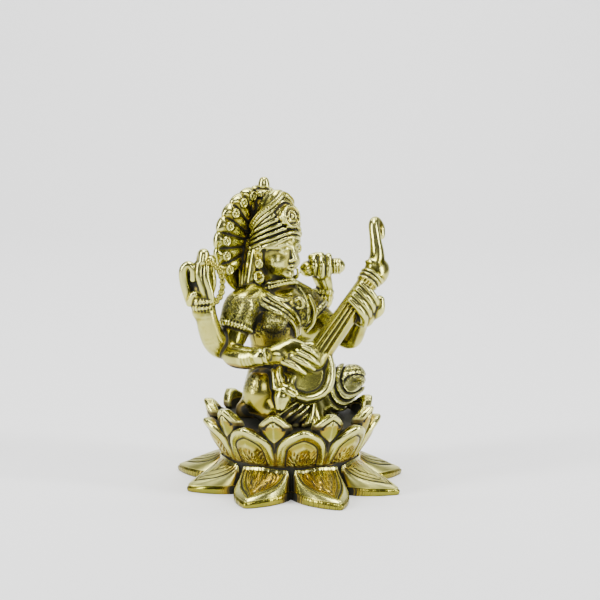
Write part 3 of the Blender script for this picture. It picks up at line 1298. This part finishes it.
def lay_floor(finish):
    """A floor that rises into a backdrop in one smooth curve behind the statue."""
    behind, bend, half_width = 0.9, 0.5, 6.0
    depth = [(-7.0, 0.0), (-1.0, 0.0), (behind, 0.0)]
    for a in np.radians(np.arange(10, 91, 10)):
        depth.append((behind + bend * math.sin(a), bend - bend * math.cos(a)))
    depth += [(behind + bend, 2.4)]
    turn = Matrix.Rotation(math.radians(VIEW_TURN), 3, "Z")
    corners = []
    for y, z in depth:
        for x in (-half_width, half_width):
            corners.append(turn @ Vector((x, y, z)))
    faces = [(2 * i, 2 * i + 1, 2 * i + 3, 2 * i + 2) for i in range(len(depth) - 1)]
    mesh = new_mesh("floor", np.array([list(c) for c in corners]) / MM, faces)
    smooth_shaded(mesh)
    material, b, where = new_material("pale paper")
    speckle = b.noise(where, 300.0)
    pale = b.mixed((speckle * 0.1).held(), tuple(finish.floor), (0.84, 0.84, 0.84, 1))
    shader = b.add("ShaderNodeBsdfPrincipled", None, {"Base Color": pale, "Roughness": 0.85})
    b.add("ShaderNodeOutputMaterial", None, {"Surface": shader})
    mesh.materials.append(material)
    floor = place_object("floor", mesh)


def add_light(name, place, size, power, aim=(0, 0, 0.06)):
    lamp = bpy.data.lights.new(name, "AREA")
    lamp.shape = "RECTANGLE"
    lamp.size, lamp.size_y = size
    lamp.energy = power
    holder = place_object(name, lamp)
    holder.location = place
    holder.rotation_euler = Vector(np.array(aim) - np.array(place)).to_track_quat("-Z", "Y").to_euler()


def set_lights():
    world = bpy.data.worlds.new("studio")
    bpy.context.scene.world = world
    world.use_nodes = True
    background = world.node_tree.nodes["Background"]
    background.inputs[0].default_value = (0.5, 0.52, 0.5, 1)
    background.inputs[1].default_value = 0.05
    right, toward, up = VIEW_RIGHT, VIEW_TOWARD, UP
    add_light("left box", -right * 0.75 + toward * 0.35 + up * 0.45, (0.16, 0.8), 10)
    add_light("right box", right * 0.8 + toward * 0.25 + up * 0.4, (0.14, 0.8), 9)
    add_light("top box", toward * 0.12 + up * 0.95, (0.4, 0.35), 9)
    add_light("front box", toward * 0.9 + right * 0.12 + up * 0.5, (0.34, 0.34), 2.6)
    add_light("backdrop wash", -toward * 0.5 + up * 1.2, (1.6, 0.4), 30, aim=-toward * 1.5 + up * 0.3)


def set_camera():
    azimuth = math.radians(VIEW_TURN)
    distance, eye_height, aim_height, aim_aside = 640, 162.07, 71.47, 3.21
    focal_pixels, frame_pixels, sensor_width = 1664.8, 600, 36
    pitch = math.asin((eye_height - aim_height) / distance)
    roll = math.radians(0.61)
    target = np.array([aim_aside * math.cos(azimuth), aim_aside * math.sin(azimuth), aim_height])
    back = np.array([math.sin(azimuth) * math.cos(pitch), -math.cos(azimuth) * math.cos(pitch), math.sin(pitch)])
    side = np.array([math.cos(azimuth), math.sin(azimuth), 0])
    up = np.cross(back, side)
    right = side * math.cos(roll) + up * math.sin(roll)
    up = up * math.cos(roll) - side * math.sin(roll)
    place = (target + back * distance) * MM
    lens = bpy.data.cameras.new("camera")
    lens.sensor_width = sensor_width
    lens.lens = focal_pixels / frame_pixels * sensor_width
    lens.clip_start = 0.01
    camera = place_object("camera", lens)
    rows = [[right[k], up[k], back[k], place[k]] for k in range(3)] + [[0, 0, 0, 1]]
    camera.matrix_world = Matrix(rows)
    bpy.context.scene.camera = camera


# Lotus base, worked out as one surface round the star


def base_tip(i):
    k = i % len(BASE_PETAL_LEANS)
    return BASE_PETAL_TURN + i * 360 / len(BASE_PETAL_LEANS) + BASE_PETAL_LEANS[k]


def base_outline(columns):
    """Angle, radius, petal number and offset from the petal's middle at each column round the star."""
    petals = len(BASE_PETAL_LEANS)
    rows = []
    for i in range(petals):
        for j in range(columns):
            off = (j / columns) * 2 - 1
            tip = base_tip(i)
            notch = (tip + base_tip(i - 1 if off < 0 else i + 1)) / 2
            angle = tip + (notch - tip) * abs(off)
            reach = BASE_TIP_RADIUS + BASE_PETAL_GROWTH[i]
            share = (1 - abs(off)) ** 0.71
            rows.append((math.radians(angle), BASE_NOTCH_RADIUS + (reach - BASE_NOTCH_RADIUS) * share, i, off))
    return np.array(rows)


def base_mesh(columns, rows):
    around = base_outline(columns)
    angle, reach, petal, off = around.T
    for _ in range(max(2, round((columns / 40) ** 2 * 1.5))):
        reach = (np.roll(reach, 1) + 2 * reach + np.roll(reach, -1)) / 4
    wrapped = np.unwrap(angle)
    slope = (
        (np.roll(reach, -1) - np.roll(reach, 1))
        / np.maximum((np.roll(wrapped, -1) - np.roll(wrapped, 1)) % (2 * np.pi), 1e-4)
    )
    lean = reach / np.hypot(reach, slope)
    half_petal = 180 / len(BASE_PETAL_LEANS)
    front_turn, front_spread = -135, 52
    tip_drop, rim_at, contours, seam_radius, foot_radius = 1.1, 1.6, (3.2, 5.2, 7.6), 27.0, 26.1
    t = np.linspace(0, 1, rows)[:, None]
    r = reach[None, :] + (SEAT_FOOT_RADIUS - reach[None, :]) * t
    inward = (reach[None, :] - r) * lean[None, :]
    side = np.sin(np.radians(np.abs(off) * half_petal))[None, :] * r
    to_notch = (1 - np.abs(off))[None, :] * np.radians(half_petal) * r
    edge_height = BASE_EDGE_HEIGHT - tip_drop * (1 - np.abs(off))[None, :] ** 2
    z = edge_height + (BASE_HEIGHT - edge_height) * t
    # Raised rim, scooped middle, dark notches; the petals that face the front are scooped deeper
    front = ridge(((np.degrees(wrapped) - front_turn + 180) % 360 - 180) / front_spread, 1)[None, :]
    scoop = (
        step_up(inward, 2.2, 6.5) * step_up(to_notch, 1.2, 5.0) * (2.2 * front - 0.25)
        * np.sin(np.pi * np.clip(t * 1.04, 0, 1)) ** 0.8
    )
    rim = ridge(inward - rim_at, 1.3) * (0.12 + 0.4 * front) * step_up(to_notch, 0.6, 2.2)
    groove = ridge(inward - contours[0], 0.36) * 0.5 * step_up(to_notch, 0.8, 2.0) * fall(t, 0.8, 0.9)
    second = (
        (ridge(inward - contours[1], 0.3) + ridge(inward - contours[2], 0.3)) * (0.5 - 0.35 * front)
        * step_up(to_notch, 1.5, 3.0) * fall(t, 0.7, 0.85)
    )
    notch = ridge(to_notch, 0.85) * 2.6 * fall(t, 0.93, 1.0) * step_up(t, 0.0, 0.12)
    lane = side * np.sign(off)[None, :] / 1.2
    strokes = ridge((lane % 1) - 0.5, 0.15) * 0.4
    dashes = step_up(inward, 5.6, 6.6) * fall(r, 37.5, 40) * step_up(r, 26.5, 28) * step_up(to_notch, 1.8, 2.8)
    broken = step_up(
        np.sin(r * 0.85 + np.floor(lane) * 2.3 + petal[None, :] * 1.7), 0.45 - 0.8 * front, 0.85 - 0.8 * front
    )
    tip_cuts = (
        ridge(((side + r * 0.8) / 1.1 % 1) - 0.5, 0.2) * ridge(inward - 4.2, 1.0) * step_up(r, 35.5, 37.5) * 0.35
    )
    seam = ridge(r - seam_radius, 0.33) * step_up(to_notch, 0.3, 1.4)
    waist = seam * 0.7 - ridge(r - foot_radius, 0.4) * 0.5
    z = z - scoop + rim - groove - second - notch - strokes * dashes * broken - tip_cuts + waist
    z = np.maximum(z, 0.6)
    # Edge band, then the flat underside
    spots = []
    edge_rows = 7
    scored = ridge((np.cumsum(np.hypot(reach * np.gradient(wrapped), np.gradient(reach))) / 0.75 % 1) - 0.5, 0.22)
    for k in range(edge_rows):
        share = k / (edge_rows - 1)
        height = math.sin(share * math.pi / 2) * (z[0] - 0.1)
        bulge = 0.5 * math.sin(math.pi * min(share * 1.3, 1)) - 0.35 - 0.45 * max(0, (share - 0.6) / 0.4) ** 2
        score = 0.3 * scored * math.sin(math.pi * share) ** 0.5
        rr = reach + bulge - score
        spots.append(np.stack([np.cos(angle) * rr, np.sin(angle) * rr, height], 1))
    for k in range(rows):
        rr = np.minimum(r[k], reach - 0.75 - 0.3 * k) if k < 2 else r[k]
        spots.append(np.stack([np.cos(angle) * rr, np.sin(angle) * rr, z[k]], 1))
    total = len(spots)
    n = len(reach)
    spots = np.vstack(spots)
    faces = []
    for k in range(total - 1):
        here = np.arange(n) + k * n
        nxt = np.roll(np.arange(n), -1) + k * n
        faces.append(np.stack([here, nxt, nxt + n, here + n], 1))
    faces = np.vstack(faces)
    under = len(spots)
    top = under + 1
    spots = np.vstack([spots, [[0, 0, 0]], [[0, 0, BASE_HEIGHT]]])
    ring = np.arange(n)
    last = ring + (total - 1) * n
    fan_low = np.stack([np.full(n, under), np.roll(ring, -1), ring], 1)
    fan_high = np.stack([np.full(n, top), last, np.roll(last, -1)], 1)
    hollow_top = np.clip(
        0.44 + groove * 1.5 + second * 1.5 + notch * 0.5 + strokes * dashes * broken * 1.3 + tip_cuts * 1.2
        - waist * 1.2 - rim * 0.4,
        0, 1
    )
    shade_top = (
        np.clip(notch * 0.5 + ridge(to_notch, 2.0) * 0.6 + step_up(-r, -29.5, -25.5) * 0.5, 0, 1) * (1 - 0.9 * seam)
    )
    near_waist = fall(r, 27.5, 33)
    gold_top = np.clip(step_up(scoop, 0.4, 1.4) * front * 0.95 + near_waist * (1 - front) * 0.4, 0, 1) * (1 - seam)
    gold = np.concatenate([np.zeros(edge_rows * n), gold_top.ravel(), [0, 0]])
    edge_notch = np.clip(ridge((1 - np.abs(off)) * 9.5, 2.2), 0, 1)
    edge_low = 0.12 + 0.1 * np.sin(angle * 3 + 1)
    hollow = np.concatenate(
        [np.tile(0.42 + 0.3 * edge_notch + (0.1 + edge_low) * scored, edge_rows), hollow_top.ravel(), [0.5, 0.5]]
    )
    shade = np.concatenate([np.tile(0.05 + 0.85 * edge_notch, edge_rows), shade_top.ravel(), [0.3, 0.3]])
    rubbed = np.concatenate([np.zeros(edge_rows * n), ((1 - front) * 2.2 * step_up(r, 27.5, 32)).ravel(), [0, 0]])
    return spots, faces, np.vstack([fan_low, fan_high]), {
        "hollow": hollow, "shade": shade, "gold": gold, "rubbed": rubbed
    }


class GODDESS_OT_lotus_base(bpy.types.Operator):
    """Works out the spread lotus base: raised rims, scooped petals, dark notches and engraved strokes"""

    bl_idname = "goddess.lotus_base"
    bl_label = "Lotus base"

    def execute(self, context):
        columns, rows = ((104, 84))
        spots, quads, fans, marks = base_mesh(columns, rows)
        mesh = bpy.data.meshes.new("base_casting")
        mesh.from_pydata((spots * MM).tolist(), [], quads.tolist() + fans.tolist())
        mesh.validate()
        for name, values in marks.items():
            write_marks(mesh, name, values)
        smooth_shaded(mesh)
        mesh.materials.append(brass("base brass", context.scene.goddess_finish))
        piece = place_object("base_casting", mesh)
        carry(piece, "lotus_base")
        return {"FINISHED"}


# Lotus seat


# Radius at the foot and at the tip, thickness, crown of the face, lowest and highest level
PETAL_FORMS = {"outer": (25.0, 35.3, 4.4, 0.6, 11.0, 28.0), "inner": (25.0, 33.4, 3.8, 0.4, 11.0, 32.6)}


def petal_outline(kind):
    """The petal's outline by distance along the ring and height."""
    if kind == "outer":
        width, foot, tip = 22.0, BASE_HEIGHT - 6, BASE_HEIGHT + 15.4
        shares = [0, 0.23, 0.46, 0.64, 0.715, 0.785, 0.846, 0.902, 0.946, 0.981, 1.0]
        outline = [0.85, 0.86, 0.9, 0.88, 0.83, 0.75, 0.64, 0.5, 0.34, 0.18, 0.04]
    else:
        width, foot, tip = 17.0, BASE_HEIGHT - 1, BASE_HEIGHT + 20.6
        shares = [0, 0.43, 0.49, 0.73, 0.81, 0.92, 1.0]
        outline = [0.1, 0.1, 0.16, 0.76, 0.72, 0.44, 0.14]
    right = [(width / 2 * o, foot + (tip - foot) * up) for up, o in zip(shares, outline)]
    return right + [(-a, b) for a, b in right[::-1]]


def add_petal(clay, turn, kind):
    foot, tip, thick, lift, low_z, high_z = PETAL_FORMS[kind]
    corners = petal_outline(kind)
    angle = math.radians(turn)
    ring_radius, around, slant = 29, 14, 0.87
    middle = np.array([math.cos(angle), math.sin(angle)]) * ring_radius
    spans, x, y, z = clay.window(
        [middle[0] - around, middle[1] - around, low_z - 2], [middle[0] + around, middle[1] + around, high_z + 3]
    )
    r = np.hypot(x, y)
    off = np.arctan2(y * math.cos(angle) - x * math.sin(angle), x * math.cos(angle) + y * math.sin(angle))
    arc = off * r
    up = np.clip((z - low_z) / (high_z - low_z), 0, 1.1)
    edge = outline_distance(arc, z + 0 * arc, corners)
    inward = -edge
    across = np.clip(arc / 11.0, -1, 1)
    face = foot + (tip - foot) * up**0.9 + lift * np.sin(np.pi * np.clip(up, 0, 1)) * (1 - across * across)
    face = face * (1 - 0.1 * across**2 * up)
    if kind == "outer":
        relief = 0.7 * ridge(inward - 1.7, 1.5)
        relief = relief - 0.45 * ridge(inward - 3.9, 0.3)
        relief = relief + 0.6 * step_up(inward, 4.2, 7.5) * fall(z, 20, 25)
        fan = np.arctan2(arc, z - 9.0)
        lane = fan * 7.0 + 0.3 * np.sin(z * 0.9)
        broken = step_up(np.sin(z * 1.5 + np.floor(lane) * 2.3), -0.5, 0.1)
        strokes = ridge((lane % 1) - 0.5, 0.15) * broken * step_up(inward, 4.0, 4.8) * fall(z, 17.0, 19.5)
        relief = relief - 0.45 * strokes
    else:
        relief = 0.7 * (1 - np.abs(across * 1.5)) - 0.6 * ridge(inward - 2.3, 0.32) * step_up(z, 26.6, 27.3)
        relief = relief - 0.4 * ridge(arc, 0.3) * step_up(z, 28.2, 28.8)
    outer = (r - face - relief) * slant
    inner = (face - thick - r) * slant
    body = -soft_min(-edge, -np.maximum(outer, inner), 1.3)
    clay.join(spans, body, 0.25)


def seat_places(points):
    """Distance inside the nearest outer petal's outline, depth behind its face, height, and distance
    aside of the inner petal's middle."""
    x, y, z = points.T
    step_turn = 360 / SEAT_PETALS
    off = (np.degrees(np.arctan2(y, x)) - SEAT_TURN + step_turn / 2) % step_turn - step_turn / 2
    r = np.hypot(x, y)
    inward = -outline_distance(np.radians(off) * r, z, petal_outline("outer"))
    foot, tip, _, _, low_z, high_z = PETAL_FORMS["outer"]
    up = np.clip((z - low_z) / (high_z - low_z), 0, 1)
    behind = foot + (tip - foot) * up**0.9 - r
    aside = np.radians(step_turn / 2 - np.abs(off)) * r
    return inward, behind, z, aside


def seat_gold(points):
    inward, behind, z, _ = seat_places(points)
    on_face = fall(behind, 0.8, 1.6)
    low = fall(z, 14.5, 17)
    return np.clip(on_face * np.maximum(step_up(inward, 3.6, 4.4) * fall(z, 17.5, 21) * 0.85, low * 0.7), 0, 1)


def seat_dark(points):
    inward, behind, z, aside = seat_places(points)
    gap = (
        fall(inward, -0.5, 0.2) * fall(z - 0.75 * aside, 21.6, 22.2) * fall(z, 26, 27.4) * step_up(behind, -0.6, 0.6)
    )
    foot = fall(z, 12.3, 13.4)
    bowl = step_up(behind, 2.2, 3.4) * step_up(z, 24.5, 25.2) * fall(z, 27.5, 30.5)
    return np.clip(np.maximum.reduce([gap * 1.2, foot * 0.7, bowl * 0.8]), 0, 1)


def seat_clay(step):
    clay = Clay((-38, -38, 9.5), (38, 38, 35), step)
    profile = [
        (0, 11), (SEAT_FOOT_RADIUS - 1.6, 11), (SEAT_FOOT_RADIUS - 1, BASE_HEIGHT + 3.3),
        (SEAT_FOOT_RADIUS + 3.3, BASE_HEIGHT + SEAT_FLOOR_HEIGHT), (0, BASE_HEIGHT + SEAT_FLOOR_HEIGHT)
    ]
    clay.turned(profile, (0, 0, 0), 0, 0.4)
    step_turn = 360 / SEAT_PETALS
    for i in range(SEAT_PETALS):
        add_petal(clay, SEAT_TURN + (i + 0.5) * step_turn, "inner")
    for i in range(SEAT_PETALS):
        add_petal(clay, SEAT_TURN + i * step_turn, "outer")
    clay.cut_below(BASE_HEIGHT)
    return clay


class GODDESS_OT_lotus_seat(bpy.types.Operator):
    """Models the cup of two staggered rings of petals"""

    bl_idname = "goddess.lotus_seat"
    bl_label = "Lotus seat"

    def execute(self, context):
        sizes = context.scene.goddess_sizes
        clay = seat_clay(grain_of(context))
        material = brass("seat brass", context.scene.goddess_finish)
        finish_casting(
            clay, "seat_casting", "lotus_seat", (0, 0, 0), sizes.most_faces, material,
            {"gold": seat_gold}, seat_dark
        )
        return {"FINISHED"}


class GODDESS_OT_figure(bpy.types.Operator):
    """Models the seated figure with her veena, crown, halo and jewels"""

    bl_idname = "goddess.figure"
    bl_label = "Figure"

    def execute(self, context):
        sizes = context.scene.goddess_sizes
        clay = Clay((-46, -37, -2), (42, 15, 95), grain_of(context))
        model_trunk(clay)
        model_legs(clay)
        clay.carve((4, -28, -1), (37, 0, 20), fold_creases)
        clay.keep_body()
        model_arms(clay)
        model_halo(clay)
        model_head(clay)
        model_crown(clay)
        clay.carve((-14, -14, 62), (12, 12, 90), crown_engraving)
        clay.carve((-6, 1, 79.5), (5, 11, 87.5), finial_engraving)
        model_jewels(clay)
        model_pleats(clay)
        model_rosary_hand(clay)
        model_leaf_hand(clay)
        model_veena(clay)
        model_playing_hands(clay)
        clay.cut_below(0.0)
        KEPT["figure clay"] = clay
        material = brass("figure brass", context.scene.goddess_finish, engraving=figure_engraving)
        finish_casting(
            clay, "figure_casting", "figure", FIGURE_PLACE, sizes.most_faces, material,
            {"cloth": lambda places: bare_cloth(clay, places)}, sooty_share, rubbed_share
        )
        return {"FINISHED"}


# Repeated ornaments


def path_curve(name, paths):
    curve = bpy.data.curves.new(name, "CURVE")
    curve.dimensions = "3D"
    for points in paths:
        line, _ = smooth_path(points, [1, 1], 8)
        spline = curve.splines.new("POLY")
        spline.points.add(len(line) - 1)
        flat = np.hstack([(line + FIGURE_PLACE) * MM, np.ones((len(line), 1))])
        spline.points.foreach_set("co", flat.ravel())
    return place_object(name, curve)


def named_input(tree, name, kind, default=None):
    socket = tree.interface.new_socket(name=name, in_out="INPUT", socket_type=kind)
    if default is not None:
        socket.default_value = default
    return socket.identifier


def ornament_tree(name, material, build, inputs):
    tree = bpy.data.node_groups.new(name, "GeometryNodeTree")
    named_input(tree, "Geometry", "NodeSocketGeometry")
    keys = {label: named_input(tree, label, kind, default) for label, kind, default in inputs}
    tree.interface.new_socket(name="Geometry", in_out="OUTPUT", socket_type="NodeSocketGeometry")
    b = Bench(tree)
    source = tree.nodes.new("NodeGroupInput")
    made = build(b, source)
    made = b.add("GeometryNodeRealizeInstances", None, {0: made})
    made = b.add("GeometryNodeSetShadeSmooth", None, {0: made})
    made = b.add("GeometryNodeSetMaterial", None, {0: made, 2: material})
    sink = tree.nodes.new("NodeGroupOutput")
    tree.links.new(made, sink.inputs[0])
    return tree, keys


def beads_along(b, source):
    spots = b.add(
        "GeometryNodeCurveToPoints", {"mode": "LENGTH"},
        {"Curve": source.outputs["Geometry"], "Length": source.outputs["Bead Spacing"]}
    )
    ball = b.add("GeometryNodeMeshIcoSphere", None, {"Radius": source.outputs["Bead Radius"], "Subdivisions": 2})
    size = b.add(
        "FunctionNodeRandomValue", {"data_type": "FLOAT"}, {2: 0.88, 3: 1.06, "Seed": source.outputs["Seed"]}, out=1
    )
    return b.add("GeometryNodeInstanceOnPoints", None, {"Points": spots, "Instance": ball, "Scale": size})


def cords_along(b, source):
    rim = b.add(
        "GeometryNodeCurvePrimitiveCircle", None, {"Radius": source.outputs["String Radius"], "Resolution": 8}
    )
    return b.add(
        "GeometryNodeCurveToMesh", None,
        {"Curve": source.outputs["Geometry"], "Profile Curve": rim, "Fill Caps": True}
    )


def run_tree(name, paths, tree, keys, values, hollow, shade):
    """Lays ornaments along paths, as one finished piece of the figure's brass."""
    line = path_curve(name, paths)
    modifier = line.modifiers.new("ornament", "NODES")
    modifier.node_group = tree
    for label, value in values.items():
        modifier[keys[label]] = value
    piece = baked(line)
    for mark, share in (("hollow", hollow), ("shade", shade)):
        write_marks(piece.data, mark, np.full(len(piece.data.vertices), share))
    carry(piece)


class GODDESS_OT_beads(bpy.types.Operator):
    """Strings the beads of the rosary, the necklace and the crown's edge along their paths"""

    bl_idname = "goddess.beads"
    bl_label = "Beads"

    def execute(self, context):
        sizes = context.scene.goddess_sizes
        clay = KEPT["figure clay"]
        material = brass("bead brass", context.scene.goddess_finish)
        inputs = [
            ("Bead Radius", "NodeSocketFloat", 0.001), ("Bead Spacing", "NodeSocketFloat", 0.0015),
            ("Seed", "NodeSocketInt", 3)
        ]
        tree, keys = ornament_tree("beads along a path", material, beads_along, inputs)
        ropes = garland_marks()
        middle = [((a[0] + b[0]) / 2, (a[1] + b[1]) / 2) for a, b in zip(*ropes[:2])]
        strings = {
            "rosary_beads": ([rosary_path()], sizes.bead, 0.0018),
            "garland_beads": ([clay.laid(middle, 0.1), clay.laid(ropes[3], 0.1)], 0.00042, 0.00075),
            "crown_beads": ([lowered(crown_route(0, 1.0, np.linspace(-120, 120, 25)), -0.4)], 0.0004, 0.00074),
        }
        for name, (paths, radius, spacing) in strings.items():
            run_tree(name, paths, tree, keys, {"Bead Radius": radius, "Bead Spacing": spacing, "Seed": 3}, 0.42, 0.12)
        return {"FINISHED"}


class GODDESS_OT_strings(bpy.types.Operator):
    """Lays the veena's strings from the bands to the sound box"""

    bl_idname = "goddess.strings"
    bl_label = "Veena strings"

    def execute(self, context):
        sizes = context.scene.goddess_sizes
        material = brass("string brass", context.scene.goddess_finish)
        inputs = [("String Radius", "NodeSocketFloat", 0.0005)]
        tree, keys = ornament_tree("cords along a path", material, cords_along, inputs)
        run_tree("veena_strings", veena_strings(), tree, keys, {"String Radius": sizes.string}, 0.4, 0.05)
        return {"FINISHED"}


class GODDESS_PT_panel(bpy.types.Panel):
    """Sizes, colours and steps of the statue"""

    bl_idname = "GODDESS_PT_panel"
    bl_label = "Brass Goddess"
    bl_space_type = "VIEW_3D"
    bl_region_type = "UI"
    bl_category = "Brass Goddess"

    def draw(self, context):
        layout = self.layout
        for group in (context.scene.goddess_sizes, context.scene.goddess_finish):
            box = layout.box()
            for name in group.__annotations__:
                box.prop(group, name)
        for step in STEPS:
            layout.operator(step.bl_idname)


STEPS = (
    GODDESS_OT_stage,
    GODDESS_OT_lotus_base,
    GODDESS_OT_lotus_seat,
    GODDESS_OT_figure,
    GODDESS_OT_beads,
    GODDESS_OT_strings,
)
CLASSES = (GoddessSizes, GoddessFinish) + STEPS + (GODDESS_PT_panel,)


def register():
    for item in CLASSES:
        bpy.utils.register_class(item)
    bpy.types.Scene.goddess_sizes = PointerProperty(type=GoddessSizes)
    bpy.types.Scene.goddess_finish = PointerProperty(type=GoddessFinish)


def unregister():
    del bpy.types.Scene.goddess_finish
    del bpy.types.Scene.goddess_sizes
    for item in reversed(CLASSES):
        bpy.utils.unregister_class(item)


def main():
    register()
    for step in STEPS:
        group, name = step.bl_idname.split(".")
        getattr(getattr(bpy.ops, group), name)()


if __name__ == "__main__":
    main()
